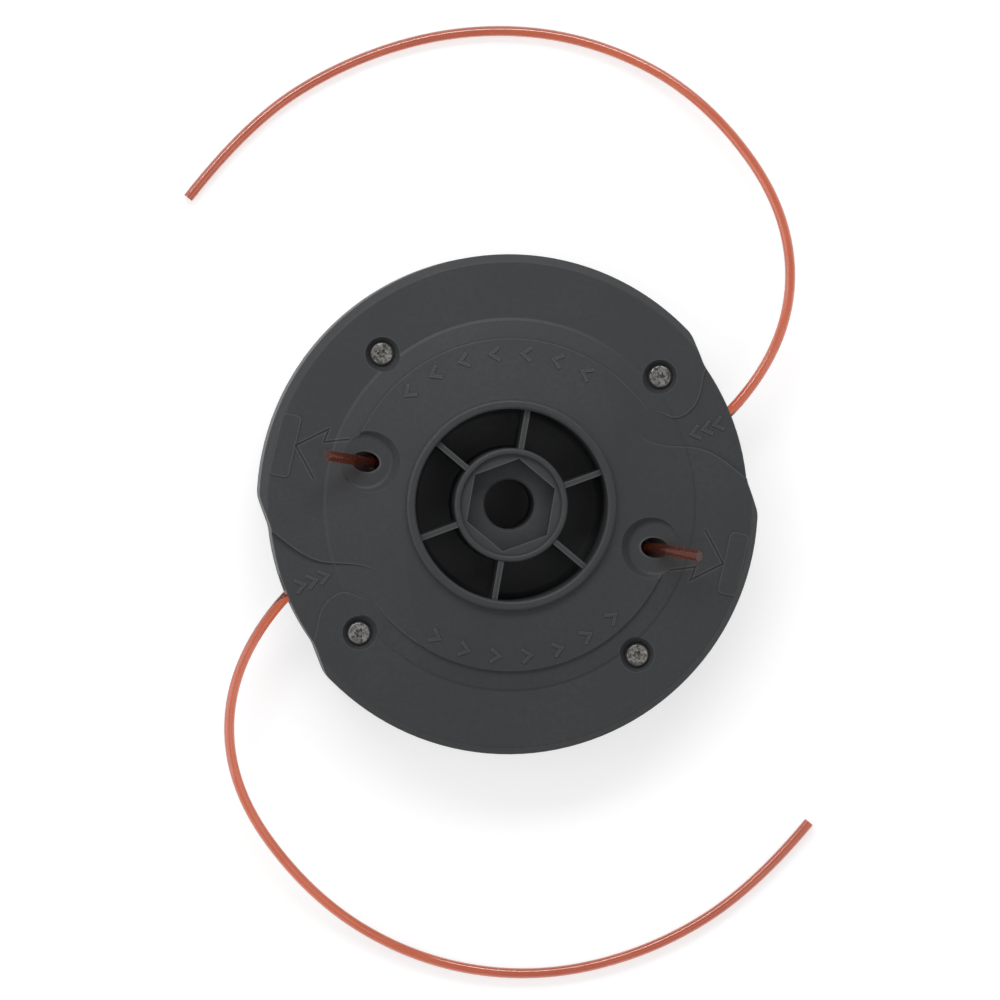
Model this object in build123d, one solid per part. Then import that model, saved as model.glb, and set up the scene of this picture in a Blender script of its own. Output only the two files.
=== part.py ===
from build123d import *
import math
import os

os.makedirs("parts", exist_ok=True)

# Frame, in millimetres: Z is the arbor axis, Z = 0 is the drive-side face that the head rests on, and +Z
# points out of the ground-side face with the hex socket. The head repeats itself after half a turn.

# Envelope of the two mouldings
head_diameter = 127.0
parting_height = 12.0
flange_height = 20.0
rim_bevel_width = 1.9
rim_bevel_height = 2.1
rim_rounding = 0.6
drive_edge_rounding = 2.5
outer_wall = 3.5
roof_thickness = 2.6
floor_thickness = 3.0
inner_rooting = 1.0

# Shallow reliefs of the rim around the two line mouths
relief_depth = 2.7
relief_first_angle = 5.5
relief_last_angle = 35.5
relief_run_out = 7.5
relief_blend = 8.0

# Cone, ring, wells and hub of the ground side
flange_width = 16.1
crease_height = 20.8
crease_foot_width = 0.7
crease_foot_height = 0.35
cone_height = 24.8
ring_outer_radius = 26.7
ring_wall = 2.4
ring_height = 26.5
ring_rounding = 0.8
well_depth = 18.0
well_rounding = 2.2
web_thickness = 2.5
rib_count = 6
rib_angle = 20.0
rib_thickness = 1.4
rib_drop = 2.0
hub_rim = 1.7
hub_height = 25.0
hub_rounding = 0.7
hub_lead_in_gap = 0.83
hub_lead_in_depth = 1.3
hex_across_flats = 20.64
hex_depth = 6.8
bore_diameter = 12.7
bore_chamfer = 0.5
spigot_wall = 5.15
spigot_clearance = 0.1
hub_foot_clearance = 0.05

# Line ramps on the cone: sunk at the mouth, standing proud of the cone further round
ramp_width = 12.3
ramp_inner_gap = 3.3
ramp_first_angle = 36.0
ramp_last_angle = 158.0
bank_first_angle = 20.0
ramp_step = 0.8
ramp_tilt = 2.6
ramp_rise_heading = 150.0
ramp_level_point = (36.0, 25.0)
ramp_crest_lift = 0.1
ramp_edge_rounding = 0.45
ramp_outer_edge = [(52.0, 41.0), (49.6, 33.5), (47.6, 26.0), (42.0, 22.0), (37.0, 23.7)]
ramp_inner_edge = [(28.6, 20.9), (32.6, 17.6), (37.2, 15.4), (43.4, 14.7), (47.9, 14.3), (52.2, 12.6),
                   (58.6, 8.0), (66.0, 3.0)]
ramp_outside_point = (74.0, 26.0)

# Dish and slanted outlet where the inner end of each line comes out
dish_radius = 6.6
dish_flare = 45.0
dish_depth = 0.9
dish_tilt = 1.5
dish_rounding = 1.4
dish_backing_wall = 2.8
dish_backing_depth = 5.0
outlet_diameter = 5.2
outlet_bore_depth = 4.0

# Housing screws
screw_count = 4
screw_inset = 13.3
screw_angle = 40.3
screw_diameter = 3.0
screw_length = 12.0
screw_point = 0.6
screw_head_diameter = 5.6
screw_head_height = 1.3
screw_head_rounding = 0.4
screw_seat_drop = 1.4
screw_boss_radius = 5.6
screw_clearance = 0.2
screw_thread_clearance = 0.02
counterbore_radius = 3.95
counterbore_floor_gap = 0.25
counterbore_overcut = 2.0
drive_recess_radius = 1.0
drive_lobe_radius = 0.34
drive_lobe_count = 6
drive_recess_depth = 0.9

# Trimmer line and the channel that it is pushed through
line_diameter = 2.67
channel_diameter = 4.4
guide_wall = 2.0
guide_lead = 13.0
least_bend = 5.0

# Route of each line: from its inner end through the head, then along the ground to its free end
held_route = [(-47.0, 12.8, 32.2), (-29.6, 9.7, 14.5), (-17.3, 37.2, 15.2), (5.0, 40.7, 14.2),
              (24.5, 29.5, 13.1), (46.4, 11.3, 12.0)]
free_route_1 = [(71.9, 40.6, 11.8), (73.2, 73.3, 8.5), (51.3, 103.9, 4.4), (22.1, 119.1, 1.9),
                (-9.4, 121.7, 1.5), (-39.9, 113.4, 1.6), (-66.2, 96.7, 1.5), (-80.9, 77.9, 1.5)]
free_route_2 = [(-70.3, -39.9, 11.8), (-71.3, -71.1, 8.5), (-49.8, -100.7, 4.4), (-22.2, -117.4, 1.9),
                (8.7, -122.1, 1.5), (39.2, -114.8, 1.6), (65.1, -98.4, 1.5), (78.6, -82.2, 1.5)]
stub_reach = 10.4

# Eyelet in each line mouth
eyelet_bore = 6.0
eyelet_diameter = 8.4
eyelet_length = 4.6
eyelet_flange_diameter = 10.4
eyelet_flange = 1.2
eyelet_face_drop = 0.4
eyelet_rounding = 0.9
eyelet_clearance = 0.05
mouth_wall = 4.4

# Gripping cam, its pin and its spring
cam_ring_gap = 1.12
cam_lead = 4.85
cam_gap = 0.12
cam_thickness = 5.0
cam_hub_radius = 3.6
cam_tooth_angle = 9.0
cam_tooth_depth = 0.8
cam_tooth_growth = 0.18
cam_tooth_count = 4
cam_side_gap = 0.2
cam_swing_gap = 0.7
pin_diameter = 3.0
pin_running_clearance = 0.05
pin_seat_clearance = 0.02
pin_boss_radius = 3.4
pin_foot_height = 5.0
pin_top_cover = 2.0
spring_wire = 0.5
spring_radius = 2.25
spring_pitch = 0.56
spring_turns = 2.5
spring_gap = 0.12
spring_cam_leg = 4.6
spring_wall_leg = 4.2
spring_hook_depth = 1.6
spring_hook_clearance = 0.1

# Plain operating marks moulded into the face
mark_height = 0.3
groove_depth = 0.3
groove_width = 0.5
pad_width = 5.0
pad_length = 16.0
pad_corner = 1.3
pad_inset = 4.6
pad_angle = 165.1
pad_turn = -13.0
arrow_outline = [(-40.6, 16.6), (-47.2, 15.9), (-45.9, 19.2), (-54.3, 15.1), (-49.7, 6.5)]
chevron_gap = 11.7
chevron_angles = [60.0, 72.0, 84.0, 96.0, 108.0, 120.0, 132.0]
chevron_length = 2.2
chevron_half_width = 1.7
chevron_stroke = 0.8
load_mark_count = 3
load_mark_inset = 3.8
load_mark_pitch = 3.2
load_mark_angle = 21.0
load_mark_heading = 195.0

# Values that follow from the ones above
head_radius = head_diameter / 2
relief_radius = head_radius - relief_depth
inner_wall_radius = head_radius - outer_wall
ring_inner_radius = ring_outer_radius - ring_wall
ring_middle_radius = ring_outer_radius - ring_wall / 2
well_floor = ring_height - well_depth
rib_top = ring_height - rib_drop
lead_in_floor = hub_height - hub_lead_in_depth
hex_floor = hub_height - hex_depth
bore_radius = bore_diameter / 2
spigot_radius = bore_radius + spigot_wall
hex_corner_radius = hex_across_flats / math.sqrt(3)
hub_lead_in_radius = hex_corner_radius + hub_lead_in_gap
hub_radius = hub_lead_in_radius + hub_rim
rim_top_radius = head_radius - rim_bevel_width
rim_side_top = flange_height - rim_bevel_height
crease_radius = head_radius - flange_width
foot_radius = crease_radius - crease_foot_width
foot_top = crease_height + crease_foot_height
ramp_inner_radius = ring_outer_radius + ramp_inner_gap
ramp_outer_radius = ramp_inner_radius + ramp_width
screw_circle_radius = head_radius - screw_inset
line_radius = line_diameter / 2
channel_radius = channel_diameter / 2
guide_width = channel_diameter + 2 * guide_wall
screw_seat = flange_height - screw_seat_drop
screw_head_radius = screw_head_diameter / 2
counterbore_floor_radius = screw_head_radius + counterbore_floor_gap
counterbore_taper = (counterbore_radius - counterbore_floor_radius) / screw_seat_drop
eyelet_outer_face = relief_radius - eyelet_face_drop
eyelet_inner_face = eyelet_outer_face - eyelet_length
eyelet_seat = eyelet_inner_face + eyelet_flange
mouth_inner_radius = relief_radius - mouth_wall
clear_height = ring_height + head_radius
half_turn = 180.0


def polar(radius, degrees):
    return (radius * math.cos(math.radians(degrees)), radius * math.sin(math.radians(degrees)))


def cone_height_at(radius):
    share = (foot_radius - radius) / (foot_radius - ring_outer_radius)
    return foot_top + share * (cone_height - foot_top)


def other_side(shape):
    return shape.rotate(Axis.Z, half_turn)


def both_sides(shape):
    return shape + other_side(shape)


def turned(points, roundings=()):
    """Solid turned about Z from (radius, height) points, with some of its corners rounded."""
    section = Plane.XZ * make_face(Polyline(*points, close=True))
    for (radius, height), rounding in roundings:
        corner = section.vertices().sort_by_distance((radius, 0, height))[0]
        section = fillet(corner, rounding)
    return revolve(section, Axis.Z)


def upright(face, bottom, top):
    return extrude(Pos(0, 0, bottom) * face, amount=top - bottom)


def column(radius, bottom, top, spot=(0, 0)):
    middle = (bottom + top) / 2
    return Pos(spot[0], spot[1], middle) * Cylinder(radius, top - bottom)


def rod(start, end, radius):
    axis = Vector(end) - Vector(start)
    return extrude(Plane(origin=start, z_dir=axis) * Circle(radius), amount=axis.length)


def bend_radii(points):
    """Arc radius at each inner point: as large as its two runs allow, and never under the least bend."""
    radii = []
    for before, here, after in zip(points, points[1:], points[2:]):
        first_run = Vector(here) - Vector(before)
        second_run = Vector(after) - Vector(here)
        half_angle = math.radians(first_run.get_angle(second_run)) / 2
        shorter = min(first_run.length, second_run.length)
        radii.append(max(0.45 * shorter / math.tan(half_angle), least_bend * line_diameter))
    return radii


def tube(points, radii, radius):
    path = FilletPolyline(*points, radius=radii)
    return sweep(Plane(origin=path @ 0, z_dir=path % 0) * Circle(radius), path=path), path


def head_outline():
    """Plan of the head: the full circle with a relief at each line mouth, all corners blended."""
    first_out = relief_first_angle - relief_run_out
    last_out = relief_last_angle + relief_run_out
    inner = CenterArc((0, 0), relief_radius, relief_first_angle, relief_last_angle - relief_first_angle)
    corners = [inner @ 1, polar(head_radius, last_out), polar(2 * head_radius, last_out),
               polar(2 * head_radius, first_out), polar(head_radius, first_out), inner @ 0]
    relief = make_face([inner.edge()] + Polyline(*corners).edges())
    outline = Circle(head_radius) - relief - other_side(relief)
    return fillet(outline.vertices(), relief_blend)


def ramp_plan():
    """Plan of the upper ramp, from outside its line mouth round to the outlet of the line."""
    outer_arc = CenterArc((0, 0), ramp_outer_radius, ramp_first_angle, ramp_last_angle - ramp_first_angle)
    outer_edge = Spline(*ramp_outer_edge, outer_arc @ 0, tangents=[(0, -1), outer_arc % 0])
    inner_arc = CenterArc((0, 0), ramp_inner_radius, ramp_first_angle, ramp_last_angle - ramp_first_angle)
    inner_edge = Spline(inner_arc @ 0, *ramp_inner_edge)
    outside = Polyline(inner_edge @ 1, ramp_outside_point, outer_edge @ 0)
    end = Line(outer_arc @ 1, inner_arc @ 1)
    edges = [outer_edge.edge(), outer_arc.edge(), end.edge(), inner_arc.edge(), inner_edge.edge()]
    return make_face(edges + outside.edges())


def ramped_dome(dome):
    """The dome with both ramps: a tilted copy of the dome gives their floor, a flatter cone their crest."""
    heading = math.radians(ramp_rise_heading)
    level_radius = math.hypot(*ramp_level_point)
    pivot = (ramp_level_point[0], ramp_level_point[1], cone_height_at(level_radius))
    tilted = dome.rotate(Axis(pivot, (math.sin(heading), -math.cos(heading), 0)), ramp_tilt)
    crest = cone_height_at(ramp_outer_radius) + ramp_step
    sunk = upright(ramp_plan(), parting_height, clear_height) - tilted
    middle_angle = (bank_first_angle + ramp_last_angle) / 2
    sector = make_face(Polyline(
        (0, 0),
        polar(2 * head_radius, bank_first_angle),
        polar(2 * head_radius, middle_angle),
        polar(2 * head_radius, ramp_last_angle),
        close=True,
    ))
    drum = turned(
        [(0, parting_height), (ramp_outer_radius, parting_height), (ramp_outer_radius, crest),
         (ring_middle_radius, cone_height + ramp_crest_lift), (0, cone_height + ramp_crest_lift)],
        [((ramp_outer_radius, crest), ramp_edge_rounding)],
    )
    bank = drum & upright(sector, parting_height, clear_height) & tilted
    return dome - both_sides(sunk) + both_sides(bank)


def chevron(spot, heading):
    half = chevron_length / 2
    stroke = Polyline((-half, chevron_half_width), (half, 0), (-half, -chevron_half_width))
    return Pos(*spot) * Rot(0, 0, heading) * trace(stroke, chevron_stroke)


def raised_marks():
    pad = RectangleRounded(pad_width, pad_length, pad_corner)
    pad = Pos(*polar(head_radius - pad_inset, pad_angle)) * Rot(0, 0, pad_turn) * pad
    marks = [upright(pad, parting_height, clear_height)]
    for angle in chevron_angles:
        mark = chevron(polar(ring_outer_radius + chevron_gap, angle), angle + half_turn / 2)
        marks.append(upright(mark, parting_height, clear_height))
    for k in range(load_mark_count):
        spot = polar(relief_radius - load_mark_inset - load_mark_pitch * k, load_mark_angle)
        marks.append(upright(chevron(spot, load_mark_heading), parting_height, clear_height))
    return marks


def sunk_marks():
    return upright(trace(Polyline(*arrow_outline), groove_width), parting_height, clear_height)


# Route of each line and what the two mouldings take from it
route_1 = held_route + free_route_1
route_2 = [(-x, -y, z) for x, y, z in held_route] + free_route_2
radii_1 = bend_radii(route_1)
radii_2 = bend_radii(route_2)
held_count = len(held_route)
channel, channel_path = tube(route_1[:held_count + 1], radii_1[:held_count - 1], channel_radius)
channel = channel & column(eyelet_inner_face + eyelet_flange / 2, 0, clear_height)

stub_tip = Vector(held_route[0])
stub_root = Vector(held_route[1])
stub_plan_run = math.hypot(stub_root.X - stub_tip.X, stub_root.Y - stub_tip.Y)
outlet = stub_tip + (stub_root - stub_tip) * (stub_reach / stub_plan_run)
outlet_radius = math.hypot(outlet.X, outlet.Y)
outlet_angle = math.degrees(math.atan2(outlet.Y, outlet.X))

guide_end = stub_root + (stub_tip - stub_root) * (guide_lead / stub_plan_run)
guide_points = [(guide_end.X, guide_end.Y)] + [(x, y) for x, y, z in route_1[1:held_count + 1]]
guide_plan = trace(FilletPolyline(*guide_points, radius=radii_1[:held_count - 1]), guide_width)

mouth_start = Vector(held_route[-1][0], held_route[-1][1])
mouth_heading = (Vector(free_route_1[0][0], free_route_1[0][1]) - mouth_start).normalized()
eyelet_middle = (eyelet_inner_face + eyelet_outer_face) / 2
along = mouth_start.dot(mouth_heading)
mouth_run = math.sqrt(along ** 2 + eyelet_middle ** 2 - mouth_start.dot(mouth_start)) - along
mouth = mouth_start + mouth_heading * mouth_run
mouth_angle = math.degrees(math.atan2(mouth.Y, mouth.X))
mouth_height = held_route[-1][2]

# Place of the cam: it turns just outside the ring, and its nose meets the line half-way along a run
run_start = Vector(held_route[2])
run_end = Vector(held_route[3])
grip_point = (run_start + run_end) * 0.5
pull_direction = Vector(run_end.X - run_start.X, run_end.Y - run_start.Y).normalized()
inward = Vector(pull_direction.Y, -pull_direction.X)
grip_surface = Vector(grip_point.X, grip_point.Y) + inward * line_radius
cam_pivot_radius = ring_outer_radius + cam_ring_gap + cam_hub_radius
cam_side = grip_surface.dot(pull_direction) + cam_lead
cam_stand_off = -grip_surface.dot(inward) - math.sqrt(cam_pivot_radius ** 2 - cam_side ** 2)
cam_pivot = grip_surface + inward * cam_stand_off + pull_direction * cam_lead
cam_spot = (cam_pivot.X, cam_pivot.Y)
cam_reach = math.hypot(cam_stand_off, cam_lead) - cam_gap
cam_nose = grip_surface - cam_pivot
cam_turn = math.degrees(math.atan2(cam_nose.Y, cam_nose.X))
cam_bottom = grip_point.Z - cam_thickness / 2
cam_top = grip_point.Z + cam_thickness / 2
cam_swing_radius = cam_reach + cam_tooth_growth * cam_tooth_count + cam_swing_gap
spring_bottom = cam_top + spring_gap
spring_top = spring_bottom + spring_pitch * spring_turns + spring_wire
pin_top = cone_height_at(cam_pivot_radius) - pin_top_cover

cam_pocket = column(cam_swing_radius, cam_bottom - cam_side_gap, spring_top + spring_gap, cam_spot)
cam_pocket = cam_pocket & column(math.hypot(grip_point.X, grip_point.Y), 0, clear_height)

# Sector behind the rim relief that carries the eyelet
mouth_sector = make_face(Polyline(
    (0, 0),
    polar(2 * head_radius, relief_first_angle - relief_run_out),
    polar(2 * head_radius, relief_last_angle + relief_run_out),
    close=True,
))
mouth_block = turned([
    (mouth_inner_radius, 0),
    (inner_wall_radius + inner_rooting, 0),
    (inner_wall_radius + inner_rooting, clear_height),
    (mouth_inner_radius, clear_height),
]) & upright(mouth_sector, 0, clear_height)
mouth_frame = Plane(
    origin=(0, 0, mouth_height),
    x_dir=(0, 0, 1),
    z_dir=polar(1, mouth_angle) + (0,),
)
eyelet_hole = mouth_frame * column(eyelet_diameter / 2 + eyelet_clearance, eyelet_seat, head_radius)
eyelet_hole += mouth_frame * column(
    eyelet_flange_diameter / 2 + eyelet_clearance, eyelet_inner_face - mouth_wall, eyelet_seat)
screw_spots = [polar(screw_circle_radius, screw_angle + 360 / screw_count * k) for k in range(screw_count)]

# Ground-side cover: dome, ring, wells, hub and the upper half of the line channels
dome = turned(
    [(0, parting_height), (head_radius, parting_height), (head_radius, rim_side_top),
     (rim_top_radius, flange_height), (crease_radius, crease_height), (foot_radius, foot_top),
     (ring_outer_radius, cone_height), (0, cone_height)],
    [((head_radius, rim_side_top), rim_rounding), ((rim_top_radius, flange_height), rim_rounding)],
)
face_solid = ramped_dome(dome)
cover_room = turned([
    (0, parting_height),
    (inner_wall_radius, parting_height),
    (inner_wall_radius, flange_height - roof_thickness),
    (crease_radius, crease_height - roof_thickness),
    (ring_outer_radius, cone_height - roof_thickness),
    (0, cone_height - roof_thickness),
])
centre = turned(
    [(bore_radius, hub_foot_clearance), (spigot_radius, hub_foot_clearance),
     (spigot_radius, well_floor - web_thickness), (ring_inner_radius, well_floor - web_thickness),
     (ring_inner_radius, floor_thickness), (ring_outer_radius, floor_thickness),
     (ring_outer_radius, ring_height), (ring_inner_radius, ring_height),
     (ring_inner_radius, well_floor), (hub_radius, well_floor), (hub_radius, hub_height),
     (hub_lead_in_radius, hub_height), (hub_lead_in_radius, lead_in_floor), (bore_radius, lead_in_floor)],
    [((ring_outer_radius, ring_height), ring_rounding), ((ring_inner_radius, ring_height), ring_rounding),
     ((ring_inner_radius, well_floor), well_rounding), ((hub_radius, well_floor), hub_rounding),
     ((hub_radius, hub_height), hub_rounding), ((hub_lead_in_radius, hub_height), hub_rounding)],
)
hexagon = Rot(0, 0, rib_angle) * RegularPolygon(hex_across_flats / 2, 6, major_radius=False)
centre -= upright(hexagon, hex_floor, lead_in_floor)
centre -= Pos(0, 0, hex_floor - bore_chamfer / 2) * Cone(bore_radius, bore_radius + bore_chamfer, bore_chamfer)
rib_middle = (hub_radius + ring_inner_radius) / 2
rib_length = ring_inner_radius - hub_radius + 2 * inner_rooting
rib_height = rib_top - well_floor + inner_rooting
for k in range(rib_count):
    rib = Pos(rib_middle, 0, rib_top - rib_height / 2) * Box(rib_length, rib_thickness, rib_height)
    centre += Rot(0, 0, rib_angle + 360 / rib_count * k) * rib

cover_inside = upright(guide_plan, parting_height, clear_height)
cover_inside += upright(Pos(*cam_spot) * Circle(pin_boss_radius), spring_top + spring_gap, clear_height)
cover_inside += mouth_block & column(2 * head_radius, parting_height, clear_height)
cover_inside += column(dish_radius + dish_backing_wall, flange_height - dish_backing_depth, clear_height,
                       (outlet.X, outlet.Y))
cover_inside = both_sides(cover_inside - cam_pocket)
for spot in screw_spots:
    cover_inside += column(screw_boss_radius, parting_height, clear_height, spot)
cover_inside = cover_inside & Pos(0, 0, -inner_rooting) * face_solid

ground_cover = face_solid - cover_room + cover_inside
ground_cover = ground_cover & upright(head_outline(), 0, clear_height)
ground_cover = ground_cover - column(ring_middle_radius, 0, clear_height) + centre
for mark in raised_marks():
    mark = (mark & Pos(0, 0, mark_height) * face_solid) - Pos(0, 0, -inner_rooting) * face_solid
    ground_cover += both_sides(mark)
ground_cover -= both_sides(sunk_marks() - Pos(0, 0, -groove_depth) * face_solid)

dish_normal = polar(math.sin(math.radians(dish_tilt)), outlet_angle) + (math.cos(math.radians(dish_tilt)),)
dish_origin = (outlet.X, outlet.Y, cone_height_at(outlet_radius) - dish_depth)
dish_top_radius = dish_radius + dish_radius * math.tan(math.radians(dish_flare))
dish = Pos(0, 0, dish_radius / 2) * Cone(dish_radius, dish_top_radius, dish_radius)
dish = fillet(dish.edges().filter_by(GeomType.CIRCLE).sort_by(Axis.Z)[0], dish_rounding)
dish = Plane(origin=dish_origin, z_dir=dish_normal) * dish
stub_heading = (stub_tip - stub_root).normalized()
outlet_bore = rod(outlet - stub_heading * outlet_bore_depth, stub_tip, outlet_diameter / 2)
ground_cover -= both_sides(dish + channel + outlet_bore + eyelet_hole)
counterbore_depth = screw_seat_drop + counterbore_overcut
for spot in screw_spots:
    ground_cover -= column(screw_diameter / 2 + screw_clearance, parting_height, screw_seat, spot)
    ground_cover -= Pos(spot[0], spot[1], screw_seat + counterbore_depth / 2) * Cone(
        counterbore_floor_radius, counterbore_floor_radius + counterbore_taper * counterbore_depth,
        counterbore_depth)
ground_cover -= both_sides(column(pin_diameter / 2 + pin_seat_clearance, spring_top, pin_top, cam_spot))

# Drive-side housing: a dish with the lower half of the line channels, screw bosses and cam pin bosses
drive_dish = turned(
    [(spigot_radius + spigot_clearance, 0), (head_radius, 0), (head_radius, parting_height),
     (inner_wall_radius, parting_height), (inner_wall_radius, floor_thickness),
     (spigot_radius + spigot_clearance, floor_thickness)],
    [((head_radius, 0), drive_edge_rounding)],
)
housing_inside = upright(guide_plan, floor_thickness, parting_height)
housing_inside += column(pin_boss_radius, floor_thickness, cam_bottom - cam_side_gap, cam_spot)
housing_inside += mouth_block & column(2 * head_radius, floor_thickness, parting_height)
housing_inside = both_sides(housing_inside - cam_pocket)
for spot in screw_spots:
    housing_inside += column(screw_boss_radius, floor_thickness, parting_height, spot)
housing_inside -= column(ring_outer_radius + spigot_clearance, 0, clear_height)
housing_inside = housing_inside & column(inner_wall_radius + inner_rooting, 0, clear_height)
drive_housing = (drive_dish + housing_inside) & upright(head_outline(), 0, clear_height)
drive_housing -= both_sides(channel + eyelet_hole)
screw_tip = screw_seat - screw_length
for spot in screw_spots:
    drive_housing -= column(screw_diameter / 2 + screw_thread_clearance, screw_tip - screw_point,
                            parting_height, spot)
drive_housing -= both_sides(column(pin_diameter / 2 + pin_seat_clearance, pin_foot_height, cam_top, cam_spot))

# Housing screws, each with a rounded head and a six-lobe recess
screw = column(screw_diameter / 2, screw_tip, screw_seat)
screw = chamfer(screw.edges().sort_by(Axis.Z)[0], screw_point)
head = column(screw_head_radius, screw_seat, screw_seat + screw_head_height)
head = fillet(head.edges().sort_by(Axis.Z)[-1], screw_head_rounding)
recess = Circle(drive_recess_radius)
for k in range(drive_lobe_count):
    recess += Pos(*polar(drive_recess_radius, 360 / drive_lobe_count * k)) * Circle(drive_lobe_radius)
recess_floor = screw_seat + screw_head_height - drive_recess_depth
screw = screw + head - upright(recess, recess_floor, clear_height)
housing_screws = Compound(children=[Pos(*spot) * screw.solid() for spot in screw_spots])

# Eyelets
eyelet = column(eyelet_diameter / 2, eyelet_inner_face, eyelet_outer_face)
eyelet += column(eyelet_flange_diameter / 2, eyelet_inner_face, eyelet_seat)
eyelet -= column(eyelet_bore / 2, eyelet_inner_face, eyelet_outer_face)
bore_edges = eyelet.edges().filter_by(GeomType.CIRCLE).filter_by(lambda e: e.radius < eyelet_bore)
bore_edges = bore_edges.group_by(SortBy.RADIUS)[0]
eyelet = mouth_frame * fillet(bore_edges, eyelet_rounding)

# Gripping cams
cam_points = [(0, -cam_hub_radius)]
for k in range(cam_tooth_count):
    tip = polar(cam_reach + cam_tooth_growth * k, cam_tooth_angle * k)
    valley = polar(cam_reach + cam_tooth_growth * k - cam_tooth_depth, cam_tooth_angle * (k + 0.5))
    cam_points += [tip, valley]
cam_points.append((0, cam_hub_radius))
cam_plan = make_face(Polyline(*cam_points, close=True)) + Circle(cam_hub_radius)
cam_plan -= Circle(pin_diameter / 2 + pin_running_clearance)
cam_plan -= Pos(spring_cam_leg, 0) * Circle(spring_wire / 2 + spring_hook_clearance)
cam = upright(Pos(*cam_spot) * Rot(0, 0, cam_turn) * cam_plan, cam_bottom, cam_top)

# Cam pins
pin = column(pin_diameter / 2, pin_foot_height, pin_top, cam_spot)

# Cam springs: a coil round the pin, one end hooked into the cam and the other against the ring wall
coil_height = spring_pitch * spring_turns
coil_start = spring_bottom + spring_wire / 2
coil_path = Helix(spring_pitch, coil_height, spring_radius)
coil = sweep(Plane(origin=coil_path @ 0, z_dir=coil_path % 0) * Circle(spring_wire / 2), path=coil_path)
coil = coil.solid()
wire_radius = spring_wire / 2
hook_start = (spring_radius, 0, 0)
hook_end = (spring_cam_leg, 0, 0)
hook_foot = (spring_cam_leg, 0, -spring_gap - wire_radius - spring_hook_depth)
spring = coil + rod(hook_start, hook_end, wire_radius) + rod(hook_end, hook_foot, wire_radius)
spring += Pos(*hook_end) * Sphere(wire_radius)
tail_start = coil_path @ 1
spring += rod(tail_start, tail_start + (coil_path % 1) * spring_wall_leg, wire_radius)
spring = Pos(cam_pivot.X, cam_pivot.Y, coil_start) * Rot(0, 0, cam_turn) * spring

# Trimmer lines
line_1, path_1 = tube(route_1, radii_1, line_radius)
line_2, path_2 = tube(route_2, radii_2, line_radius)
for name, solid, path, radii in (("1", line_1, path_1, radii_1), ("2", line_2, path_2, radii_2)):
    section = math.pi * line_radius ** 2
    print("line", name, "length", round(path.length, 2), "volume share", round(
        solid.volume / (section * path.length), 5), "radii", [round(r, 1) for r in radii])

parts = {
    "ground_cover": ground_cover,
    "drive_housing": drive_housing,
    "housing_screws": housing_screws,
    "line_eyelet_1": eyelet,
    "line_eyelet_2": other_side(eyelet),
    "grip_cam_1": cam,
    "grip_cam_2": other_side(cam),
    "cam_pin_1": pin,
    "cam_pin_2": other_side(pin),
    "cam_spring_1": spring,
    "cam_spring_2": other_side(spring),
    "trimmer_line_1": line_1,
    "trimmer_line_2": line_2,
}
for name, shape in parts.items():
    print(name, "solids", len(shape.solids()), "volume", round(shape.volume, 1))
    export_step(shape, "parts/" + name + ".step")
print("cam pivot", [round(v, 3) for v in cam_spot], "cam z", cam_bottom, cam_top, "mouth angle", mouth_angle)
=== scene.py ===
import math

import bpy
from mathutils import Matrix, Vector


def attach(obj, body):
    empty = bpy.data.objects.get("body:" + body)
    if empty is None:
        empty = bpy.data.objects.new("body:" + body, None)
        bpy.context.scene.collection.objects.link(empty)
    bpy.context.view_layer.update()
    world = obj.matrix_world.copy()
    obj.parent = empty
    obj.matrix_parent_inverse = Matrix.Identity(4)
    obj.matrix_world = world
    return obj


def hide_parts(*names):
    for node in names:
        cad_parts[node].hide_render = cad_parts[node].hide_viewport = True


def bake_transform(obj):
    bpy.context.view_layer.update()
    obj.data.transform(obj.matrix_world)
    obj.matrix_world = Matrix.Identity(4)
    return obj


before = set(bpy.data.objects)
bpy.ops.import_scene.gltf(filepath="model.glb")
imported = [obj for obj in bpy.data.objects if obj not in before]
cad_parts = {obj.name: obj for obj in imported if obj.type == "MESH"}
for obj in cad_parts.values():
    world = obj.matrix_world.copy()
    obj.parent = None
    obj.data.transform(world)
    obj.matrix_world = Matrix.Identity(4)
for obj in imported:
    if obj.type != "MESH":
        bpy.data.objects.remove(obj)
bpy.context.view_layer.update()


# Drive housing: the dish on the machine's side of the head, injection moulded in dark grey filled nylon.
# Its mould was spark eroded, which leaves a fine even grain, and it carries the lower half of the line
# channels. Everything else is laid into it before the cover goes on.

mm = 0.001


def add_node(tree, kind, inputs, **settings):
    """A node of one kind, with each of its inputs set to a value or linked to another node's output."""
    node = tree.nodes.new(kind)
    for setting, value in settings.items():
        setattr(node, setting, value)
    for socket, value in inputs.items():
        if isinstance(value, bpy.types.NodeSocket):
            tree.links.new(value, node.inputs[socket])
        else:
            node.inputs[socket].default_value = value
    return node


def effect_group(name, numbers, result):
    """A shader node group with number inputs and one number output, and the nodes for its two ends."""
    group = bpy.data.node_groups.new(name, "ShaderNodeTree")
    for socket, value in numbers.items():
        made = group.interface.new_socket(socket, in_out="INPUT", socket_type="NodeSocketFloat")
        made.default_value = value
    group.interface.new_socket(result, in_out="OUTPUT", socket_type="NodeSocketFloat")
    return group, group.nodes.new("NodeGroupInput"), group.nodes.new("NodeGroupOutput")


def place_group(tree, group, **numbers):
    """That effect in a material, with its own values."""
    node = tree.nodes.new("ShaderNodeGroup")
    node.node_tree = group
    for socket, value in numbers.items():
        if isinstance(value, bpy.types.NodeSocket):
            tree.links.new(value, node.inputs[socket])
        else:
            node.inputs[socket].default_value = value
    return node.outputs[0]


def new_finish(name):
    """A node material, with its tree and its shader."""
    finish = bpy.data.materials.new(name)
    finish.use_nodes = True
    return finish, finish.node_tree, finish.node_tree.nodes["Principled BSDF"]


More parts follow.
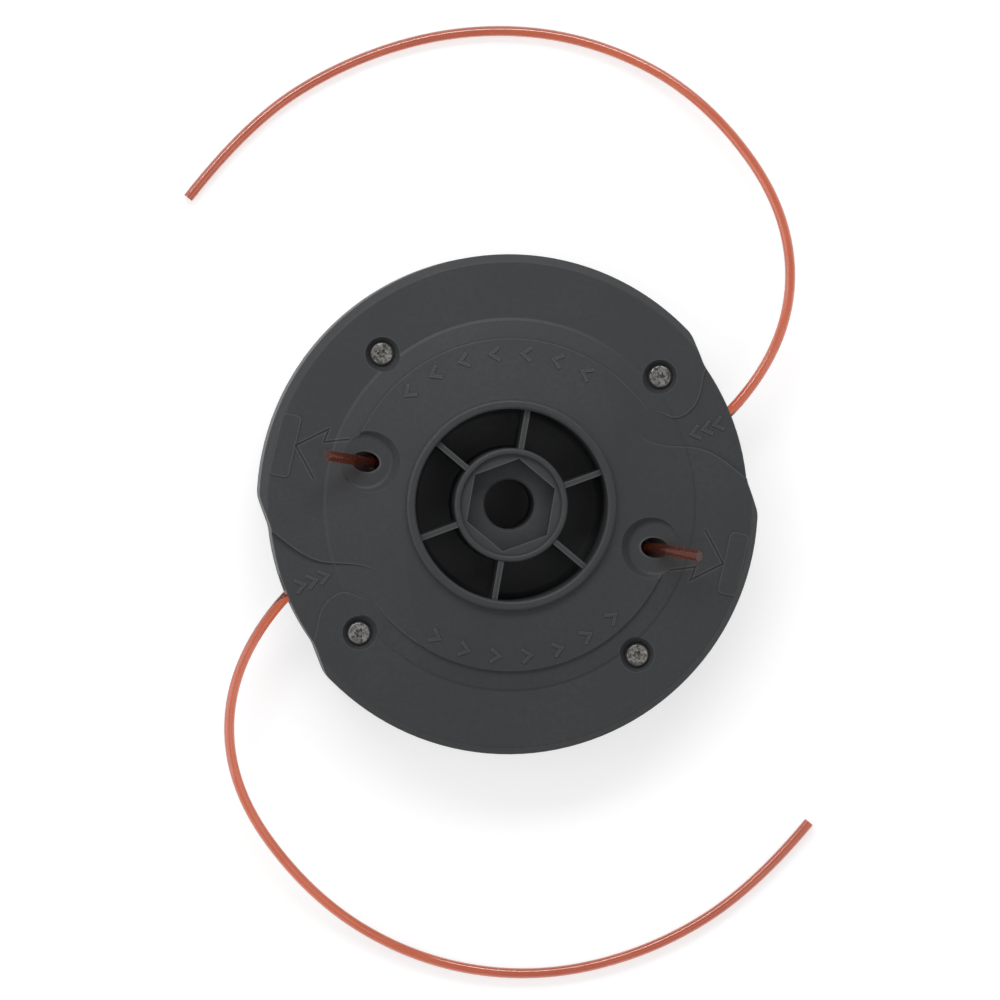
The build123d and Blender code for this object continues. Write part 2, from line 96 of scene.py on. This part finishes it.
def blend_colours(tree, share, first, second):
    """Colour that goes from the first to the second as the share goes from 0 to 1."""
    return add_node(tree, "ShaderNodeMix", {0: share, 6: first, 7: second}, data_type="RGBA").outputs[2]


def spread(tree, value, low, high, first, last):
    """A number moved from the span low to high onto the span first to last, and held there."""
    node = add_node(tree, "ShaderNodeMapRange", {0: value, 1: low, 2: high, 3: first, 4: last})
    return node.outputs[0]


def roughen(tree, shader, height, depth, strength):
    """Surface relief of a given depth in metres, from a height between 0 and 1."""
    relief = add_node(tree, "ShaderNodeBump", {"Height": height, "Distance": depth, "Strength": strength})
    tree.links.new(relief.outputs["Normal"], shader.inputs["Normal"])


eroded_grain, grain_in, grain_out = effect_group("eroded_grain", {"Fineness": 4000.0}, "Height")
grain_place = add_node(eroded_grain, "ShaderNodeTexCoord", {})
grain_noise = add_node(eroded_grain, "ShaderNodeTexNoise", {
    "Vector": grain_place.outputs["Object"], "Scale": grain_in.outputs["Fineness"],
    "Detail": 3.0, "Roughness": 0.6})
eroded_grain.links.new(grain_noise.outputs["Fac"], grain_out.inputs["Height"])

tone_drift, drift_in, drift_out = effect_group("tone_drift", {"Fineness": 60.0}, "Tone")
drift_place = add_node(tone_drift, "ShaderNodeTexCoord", {})
drift_noise = add_node(tone_drift, "ShaderNodeTexNoise", {
    "Vector": drift_place.outputs["Object"], "Scale": drift_in.outputs["Fineness"],
    "Detail": 5.0, "Roughness": 0.55})
drift_wide = spread(tone_drift, drift_noise.outputs["Fac"], 0.3, 0.7, 0.0, 1.0)
tone_drift.links.new(drift_wide, drift_out.inputs["Tone"])

# Convex edges, found by ambient occlusion looking inside the surface. This marks real rub on the tumbled
# iron, painted highlight on the nylon edges, and both on the screw edges.
edge_rub_and_glint, edge_in, edge_out = effect_group("edge_rub_and_glint", {"Width": 0.4 * mm}, "Edge")
edge_probe = add_node(edge_rub_and_glint, "ShaderNodeAmbientOcclusion", {"Distance": edge_in.outputs["Width"]},
                     inside=True, only_local=True, samples=6)
edge_share = spread(edge_rub_and_glint, edge_probe.outputs["AO"], 0.58, 0.97, 1.0, 0.0)
edge_rub_and_glint.links.new(edge_share, edge_out.inputs["Edge"])

nylon_dark = (0.0395, 0.0415, 0.044, 1)
nylon_light = (0.0505, 0.0525, 0.055, 1)
# Painted highlight: a lighter nylon colour for the convex edges, standing in for the glint of the lamps on
# the roundings of the rim, the crease, the ramps and the ring.
nylon_painted_glint = (0.098, 0.1, 0.103, 1)
moulded_nylon, tree, shader = new_finish("moulded_nylon")
grain = place_group(tree, eroded_grain, Fineness=4200.0)
drift = place_group(tree, tone_drift, Fineness=45.0)
speck = place_group(tree, tone_drift, Fineness=900.0)
edge_mask = place_group(tree, edge_rub_and_glint, Width=0.45 * mm)
mottle = add_node(tree, "ShaderNodeMath", {0: drift, 1: speck}, operation="MULTIPLY").outputs[0]
nylon_colour = blend_colours(tree, mottle, nylon_dark, nylon_light)
# Painted highlight: the nylon is lightened on its convex edges.
nylon_colour = blend_colours(tree, spread(tree, edge_mask, 0.0, 1.0, 0.0, 0.75), nylon_colour, nylon_painted_glint)
tree.links.new(nylon_colour, shader.inputs["Base Color"])
tree.links.new(spread(tree, grain, 0.3, 0.7, 0.44, 0.58), shader.inputs["Roughness"])
shader.inputs["Specular IOR Level"].default_value = 0.36
roughen(tree, shader, grain, 0.03 * mm, 0.5)

drive_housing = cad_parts["drive_housing"]
drive_housing.data.materials[0] = moulded_nylon


# Line eyelets: a bush in each line mouth, turned from aluminium bar and polished where the line bears on it.
# Its flange sits behind the rim wall, so that the pull of the line seats it. Both lie on one axis.

eyelet_heading = math.radians(20.62)
eyelet_height = 12.0 * mm

turning_marks, marks_in, marks_out = effect_group("turning_marks", {"Run": 0.0, "Fineness": 9000.0},
                                                  "Height")
marks_noise = add_node(turning_marks, "ShaderNodeTexNoise", {
    "W": marks_in.outputs["Run"], "Scale": marks_in.outputs["Fineness"], "Detail": 2.0, "Roughness": 0.7},
    noise_dimensions="1D")
turning_marks.links.new(marks_noise.outputs["Fac"], marks_out.inputs["Height"])

turned_aluminium, tree, shader = new_finish("turned_aluminium")
eyelet_place = add_node(tree, "ShaderNodeTexCoord", {})
eyelet_axis = add_node(tree, "ShaderNodeMapping", {
    "Vector": eyelet_place.outputs["Object"], "Location": (0, 0, -eyelet_height),
    "Rotation": (0, 0, -eyelet_heading)})
eyelet_split = add_node(tree, "ShaderNodeSeparateXYZ", {0: eyelet_axis.outputs[0]})
across = add_node(tree, "ShaderNodeCombineXYZ", {
    1: eyelet_split.outputs["Y"], 2: eyelet_split.outputs["Z"]})
eyelet_radius = add_node(tree, "ShaderNodeVectorMath", {0: across.outputs[0]}, operation="LENGTH")
tool_path = add_node(tree, "ShaderNodeMath", {
    0: eyelet_split.outputs["X"], 1: eyelet_radius.outputs["Value"]})
ridges = place_group(tree, turning_marks, Run=tool_path.outputs[0], Fineness=9000.0)
drift = place_group(tree, tone_drift, Fineness=400.0)
tree.links.new(blend_colours(tree, drift, (0.66, 0.66, 0.67, 1), (0.78, 0.78, 0.79, 1)),
               shader.inputs["Base Color"])
tree.links.new(spread(tree, ridges, 0.3, 0.7, 0.2, 0.36), shader.inputs["Roughness"])
shader.inputs["Metallic"].default_value = 1.0
roughen(tree, shader, ridges, 0.01 * mm, 0.4)

for name in ("line_eyelet_1", "line_eyelet_2"):
    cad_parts[name].data.materials[0] = turned_aluminium


# Cam pins: plain dowels of centreless ground steel, pressed into a boss of the drive housing.
# Each is the pivot of one cam and the core of its spring.

ground_steel, tree, shader = new_finish("ground_steel")
pin_place = add_node(tree, "ShaderNodeTexCoord", {})
pin_split = add_node(tree, "ShaderNodeSeparateXYZ", {0: pin_place.outputs["Object"]})
ridges = place_group(tree, turning_marks, Run=pin_split.outputs["Z"], Fineness=12000.0)
drift = place_group(tree, tone_drift, Fineness=300.0)
tree.links.new(blend_colours(tree, drift, (0.45, 0.45, 0.46, 1), (0.56, 0.56, 0.57, 1)),
               shader.inputs["Base Color"])
tree.links.new(spread(tree, ridges, 0.3, 0.7, 0.22, 0.34), shader.inputs["Roughness"])
shader.inputs["Metallic"].default_value = 1.0
roughen(tree, shader, ridges, 0.005 * mm, 0.3)

for name in ("cam_pin_1", "cam_pin_2"):
    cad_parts[name].data.materials[0] = ground_steel


# Grip cams: toothed levers pressed from iron powder, sintered, oiled and tumbled until the edges are bright.
# They turn on the pins, and their teeth let the line through inwards and bite when it is pulled out.

sintered_iron, tree, shader = new_finish("sintered_iron")
grain = place_group(tree, eroded_grain, Fineness=3000.0)
drift = place_group(tree, tone_drift, Fineness=250.0)
edge_mask = place_group(tree, edge_rub_and_glint, Width=0.3 * mm)
iron_colour = blend_colours(tree, drift, (0.26, 0.26, 0.27, 1), (0.36, 0.36, 0.37, 1))
iron_colour = blend_colours(tree, edge_mask, iron_colour, (0.5, 0.5, 0.51, 1))
tree.links.new(iron_colour, shader.inputs["Base Color"])
tree.links.new(spread(tree, grain, 0.3, 0.7, 0.35, 0.55), shader.inputs["Roughness"])
shader.inputs["Metallic"].default_value = 1.0
roughen(tree, shader, grain, 0.03 * mm, 0.5)

for name in ("grip_cam_1", "grip_cam_2"):
    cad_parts[name].data.materials[0] = sintered_iron


# Cam springs: torsion springs coiled from drawn music wire, blued when their stress is let down.
# One end hooks into the cam and the other leans on the ring wall, which keeps the teeth on the line.
# The coil winds up between the two as the cam turns.

merge_distance = 0.001 * mm
smooth_angle = math.radians(40)

drawn_wire, tree, shader = new_finish("drawn_wire")
grain = place_group(tree, eroded_grain, Fineness=9000.0)
drift = place_group(tree, tone_drift, Fineness=500.0)
tree.links.new(blend_colours(tree, drift, (0.36, 0.36, 0.39, 1), (0.5, 0.5, 0.52, 1)),
               shader.inputs["Base Color"])
tree.links.new(spread(tree, grain, 0.3, 0.7, 0.25, 0.4), shader.inputs["Roughness"])
shader.inputs["Metallic"].default_value = 1.0
roughen(tree, shader, grain, 0.006 * mm, 0.3)

for name, node, cam in (("spring_one", "cam_spring_1", "cam_1"), ("spring_two", "cam_spring_2", "cam_2")):
    spring = bpy.data.objects.new(name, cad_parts[node].data.copy())
    spring.data.materials[0] = drawn_wire
    bpy.context.scene.collection.objects.link(spring)
    bpy.ops.object.select_all(action="DESELECT")
    spring.select_set(True)
    bpy.context.view_layer.objects.active = spring
    bpy.ops.mesh.customdata_custom_splitnormals_clear()
    bpy.ops.object.mode_set(mode="EDIT")
    bpy.ops.mesh.select_all(action="SELECT")
    bpy.ops.mesh.remove_doubles(threshold=merge_distance)
    bpy.ops.object.mode_set(mode="OBJECT")
    bpy.ops.object.shade_smooth_by_angle(angle=smooth_angle)
    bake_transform(spring)
    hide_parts(node)


# Ground cover: the one-piece face of the head, moulded in the same nylon as the housing, with the ramps,
# the ring, the ribs and the hex socket for the nut. It is laid over the lines' channels and screwed down.

ground_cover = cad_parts["ground_cover"]
ground_cover.data.materials[0] = moulded_nylon


# Housing screws: four thread-forming screws with a low round head and a six-lobe recess, zinc plated.
# The plating is spotted with dirt where the ground has touched it, and its edges are lighter: partly scuffed
# by the driver, partly a painted highlight.

zinc_dull = (0.15, 0.146, 0.135, 1)
zinc_bright = (0.42, 0.414, 0.395, 1)
zinc_scuff_and_glint = (0.48, 0.474, 0.458, 1)
ground_dirt = (0.026, 0.021, 0.016, 1)
worn_zinc, tree, shader = new_finish("worn_zinc")
grain = place_group(tree, eroded_grain, Fineness=2600.0)
spots = place_group(tree, tone_drift, Fineness=1150.0)
drift = place_group(tree, tone_drift, Fineness=500.0)
edge_mask = place_group(tree, edge_rub_and_glint, Width=0.3 * mm)
zinc_colour = blend_colours(tree, drift, zinc_dull, zinc_bright)
zinc_dirt = spread(tree, spots, 0.3, 0.62, 0.85, 0.0)
zinc_colour = blend_colours(tree, zinc_dirt, zinc_colour, ground_dirt)
# Partly real scuffing and partly painted highlight: the plating is lighter on its convex edges.
zinc_colour = blend_colours(tree, spread(tree, edge_mask, 0.0, 1.0, 0.0, 0.7), zinc_colour, zinc_scuff_and_glint)
tree.links.new(zinc_colour, shader.inputs["Base Color"])
tree.links.new(spread(tree, zinc_dirt, 0.0, 0.85, 1.0, 0.35), shader.inputs["Metallic"])
tree.links.new(spread(tree, grain, 0.3, 0.7, 0.28, 0.55), shader.inputs["Roughness"])
roughen(tree, shader, grain, 0.06 * mm, 0.6)

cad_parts["housing_screws"].data.materials[0] = worn_zinc


# Trimmer lines: two lengths of extruded clear nylon dyed orange red, cut square at both ends.
# Each is pushed in at a mouth, held by a cam, and comes up through the slot at the far side as a short stub.
# The rest springs out of the mouth and lies round the head in the curve that it took on its spool.

line_diameter = 2.67 * mm
line_length_1 = 374.0 * mm
line_length_2 = 365.0 * mm
dull_reach = 60.0 * mm
glossy_reach = 75.0 * mm
line_outlet = (-0.0368, 0.0110, 0.0218)
held_route = [(-0.0470, 0.0128, 0.03218), (-0.0439, 0.01225, 0.0291), (-0.0296, 0.0097, 0.0145),
              (-0.0173, 0.0372, 0.0152), (0.0050, 0.0407, 0.0142), (0.0245, 0.0295, 0.0131),
              (0.0464, 0.0113, 0.0120)]
free_route_1 = [(0.0719, 0.0406, 0.0118), (0.0732, 0.0733, 0.0085), (0.0513, 0.1039, 0.0044),
                (0.0221, 0.1191, 0.0019), (-0.0094, 0.1217, 0.0015), (-0.0399, 0.1134, 0.0016),
                (-0.0662, 0.0967, 0.0015), (-0.08089, 0.0779, 0.0015)]
free_route_2 = [(-0.0703, -0.0399, 0.0118), (-0.0713, -0.0711, 0.0085), (-0.0498, -0.1007, 0.0044),
                (-0.0222, -0.1174, 0.0019), (0.0087, -0.1221, 0.0015), (0.0392, -0.1148, 0.0016),
                (0.0651, -0.0984, 0.0015), (0.07859, -0.0822, 0.0015)]

dye_deep = (0.57, 0.116, 0.052, 1)
dye_pale = (0.63, 0.146, 0.07, 1)
clear_nylon, tree, shader = new_finish("clear_nylon")
drift = place_group(tree, tone_drift, Fineness=90.0)
scuff = place_group(tree, eroded_grain, Fineness=1800.0)
tree.links.new(blend_colours(tree, drift, dye_deep, dye_pale), shader.inputs["Base Color"])
tree.links.new(spread(tree, scuff, 0.3, 0.7, 0.1, 0.18), shader.inputs["Roughness"])
shader.inputs["Transmission Weight"].default_value = 0.96
shader.inputs["IOR"].default_value = 1.53
line_place = add_node(tree, "ShaderNodeTexCoord", {})
line_plan = add_node(tree, "ShaderNodeVectorMath", {0: line_place.outputs["Object"], 1: (1, 1, 0)},
                     operation="MULTIPLY")
line_reach = add_node(tree, "ShaderNodeVectorMath", {0: line_plan.outputs[0]}, operation="LENGTH")
tree.links.new(spread(tree, line_reach.outputs["Value"], dull_reach, glossy_reach, 0.0, 1.0),
               shader.inputs["Coat Weight"])
shader.inputs["Coat Roughness"].default_value = 0.06
shader.inputs["Coat IOR"].default_value = 1.6
roughen(tree, shader, scuff, 0.01 * mm, 0.1)


def trimmer_line(name, route):
    """One length of line along its route, with closed ends."""
    curve = bpy.data.curves.new(name, "CURVE")
    curve.dimensions = "3D"
    spline = curve.splines.new("NURBS")
    spline.points.add(len(route) - 1)
    for point, place in zip(spline.points, route):
        point.co = (*place, 1)
    spline.order_u = 3
    spline.use_endpoint_u = True
    curve.bevel_depth = line_diameter / 2
    curve.bevel_resolution = 6
    curve.use_fill_caps = True
    curve.materials.append(clear_nylon)
    line = bpy.data.objects.new(name, curve)
    bpy.context.scene.collection.objects.link(line)
    return line


other_held_route = [(-x, -y, z) for x, y, z in held_route]
other_outlet = (-line_outlet[0], -line_outlet[1], line_outlet[2])
for name, node, route, outlet, length in (
        ("line_one", "trimmer_line_1", held_route + free_route_1, line_outlet, line_length_1),
        ("line_two", "trimmer_line_2", other_held_route + free_route_2, other_outlet, line_length_2)):
    line = trimmer_line(name, route)
    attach(line, "head")
    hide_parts(node)


# Studio floor: a wide pale sweep, level under the head and curved up into a low wall all round it.
# It looks white to the eye and in reflections, and still takes the soft shadow of the head.

floor_radius = 5.0
floor_wall = 2.4
floor_cove = 1.0
floor_drop = 0.2 * mm
floor_lift = 0.62

bpy.ops.object.select_all(action="DESELECT")
bpy.ops.mesh.primitive_cylinder_add(vertices=96, radius=floor_radius, depth=floor_wall,
                                    location=(0, 0, floor_wall / 2 - floor_drop))
floor = bpy.context.active_object
floor.name = "studio_floor"
bpy.ops.object.transform_apply(location=True, rotation=True, scale=True)
bpy.ops.object.mode_set(mode="EDIT")
bpy.ops.mesh.select_mode(type="FACE")
bpy.ops.mesh.select_all(action="DESELECT")
bpy.ops.object.mode_set(mode="OBJECT")
for face in floor.data.polygons:
    face.select = face.normal.z > 0.5
bpy.ops.object.mode_set(mode="EDIT")
bpy.ops.mesh.delete(type="ONLY_FACE")
bpy.ops.mesh.select_mode(type="EDGE")
bpy.ops.mesh.select_all(action="DESELECT")
bpy.ops.object.mode_set(mode="OBJECT")
for edge in floor.data.edges:
    ends = [floor.data.vertices[i].co.z for i in edge.vertices]
    edge.select = max(ends) < floor_wall / 2
bpy.ops.object.mode_set(mode="EDIT")
bpy.ops.mesh.bevel(offset=floor_cove, segments=12)
bpy.ops.mesh.select_all(action="SELECT")
bpy.ops.mesh.normals_make_consistent(inside=True)
bpy.ops.object.mode_set(mode="OBJECT")
bpy.ops.object.shade_smooth()

studio_white, tree, shader = new_finish("studio_white")
shader.inputs["Base Color"].default_value = (0.56, 0.56, 0.56, 1)
shader.inputs["Roughness"].default_value = 0.9
shader.inputs["Specular IOR Level"].default_value = 0.1
ray = add_node(tree, "ShaderNodeLightPath", {})
seen = add_node(tree, "ShaderNodeMath", {0: ray.outputs["Is Camera Ray"], 1: ray.outputs["Is Glossy Ray"]},
                operation="MAXIMUM")
seen = add_node(tree, "ShaderNodeMath", {0: seen.outputs[0], 1: ray.outputs["Is Transmission Ray"]},
                operation="MAXIMUM")
lift = add_node(tree, "ShaderNodeMath", {0: seen.outputs[0], 1: floor_lift}, operation="MULTIPLY")
shader.inputs["Emission Color"].default_value = (1, 1, 1, 1)
tree.links.new(lift.outputs[0], shader.inputs["Emission Strength"])
floor.data.materials.append(studio_white)


# Bore shade pad: a thin dark grey disc that the head stands on, wholly hidden under it.
# It is painted shade: the arbor bore looks down on it, so the bore reads as a dark hole.

pad_radius = 30.0 * mm
pad_thickness = 0.1 * mm

bpy.ops.object.select_all(action="DESELECT")
bpy.ops.mesh.primitive_cylinder_add(vertices=64, radius=pad_radius, depth=pad_thickness,
                                    location=(0, 0, -pad_thickness / 2 - floor_drop / 4))
pad = bpy.context.active_object
pad.name = "bore_shade_pad"
bpy.ops.object.transform_apply(location=True, rotation=True, scale=True)

bore_shade_grey, tree, shader = new_finish("bore_shade_grey")
pad_grain = place_group(tree, eroded_grain, Fineness=2500.0)
# Painted shade: the dark grey that the arbor bore shows.
tree.links.new(blend_colours(tree, pad_grain, (0.1, 0.1, 0.105, 1), (0.16, 0.16, 0.168, 1)),
               shader.inputs["Base Color"])
shader.inputs["Roughness"].default_value = 1.0
shader.inputs["Specular IOR Level"].default_value = 0.1
pad.data.materials.append(bore_shade_grey)


# Studio light: a long softbox beyond the head, a broad one at its left, a weak one at its right, and a pale
# room. The long one draws the bright stripe along the lines and the lit edge of the rim and the ring.

def softbox(name, heading, height, distance, width, length, power):
    """An area lamp that looks at the head, from a heading round it and an angle of height above the floor."""
    level = math.cos(height)
    back = Vector((math.cos(heading) * level, math.sin(heading) * level, math.sin(height)))
    lamp = bpy.data.lights.new(name, "AREA")
    lamp.shape = "RECTANGLE"
    lamp.size = length
    lamp.size_y = width
    lamp.energy = power
    box = bpy.data.objects.new(name, lamp)
    box.location = back * distance
    box.rotation_euler = back.to_track_quat("Z", "Y").to_euler()
    bpy.context.scene.collection.objects.link(box)


softbox("far_softbox", heading=math.radians(100), height=math.radians(44), distance=1.2,
        width=0.35, length=1.4, power=8.4)
softbox("left_softbox", heading=math.radians(185), height=math.radians(38), distance=1.3,
        width=1.2, length=1.2, power=4.0)
softbox("right_softbox", heading=math.radians(-25), height=math.radians(60), distance=1.2,
        width=0.7, length=0.7, power=1.0)

room = bpy.data.worlds.new("pale_room")
room.use_nodes = True
room.node_tree.nodes["Background"].inputs["Color"].default_value = (1, 1, 1, 1)
room.node_tree.nodes["Background"].inputs["Strength"].default_value = 0.36
bpy.context.scene.world = room


# Camera: almost straight above the head, a little to its left and beyond it, with a long lens.
# It frames the head and both lines as the photograph does.

view_lean_left = math.radians(4.3)
view_lean_far = math.radians(1.3)
view_distance = 1.8
view_width = 0.254
view_target = Vector((-0.0022, 0.0011, 0.016))
sensor_width = 36.0

back = Vector((-math.tan(view_lean_left), math.tan(view_lean_far), 1)).normalized()
right = Vector((0, 1, 0)).cross(back).normalized()
lens = bpy.data.cameras.new("photo_camera")
lens.sensor_width = sensor_width
lens.lens = sensor_width * view_distance / view_width
lens.clip_start = 0.05
lens.clip_end = 20
camera = bpy.data.objects.new("photo_camera", lens)
camera.location = view_target + back * view_distance
camera.rotation_euler = Matrix((right, back.cross(right), back)).transposed().to_euler()
bpy.context.scene.collection.objects.link(camera)
bpy.context.scene.camera = camera
bpy.context.scene.view_settings.view_transform = "Standard"
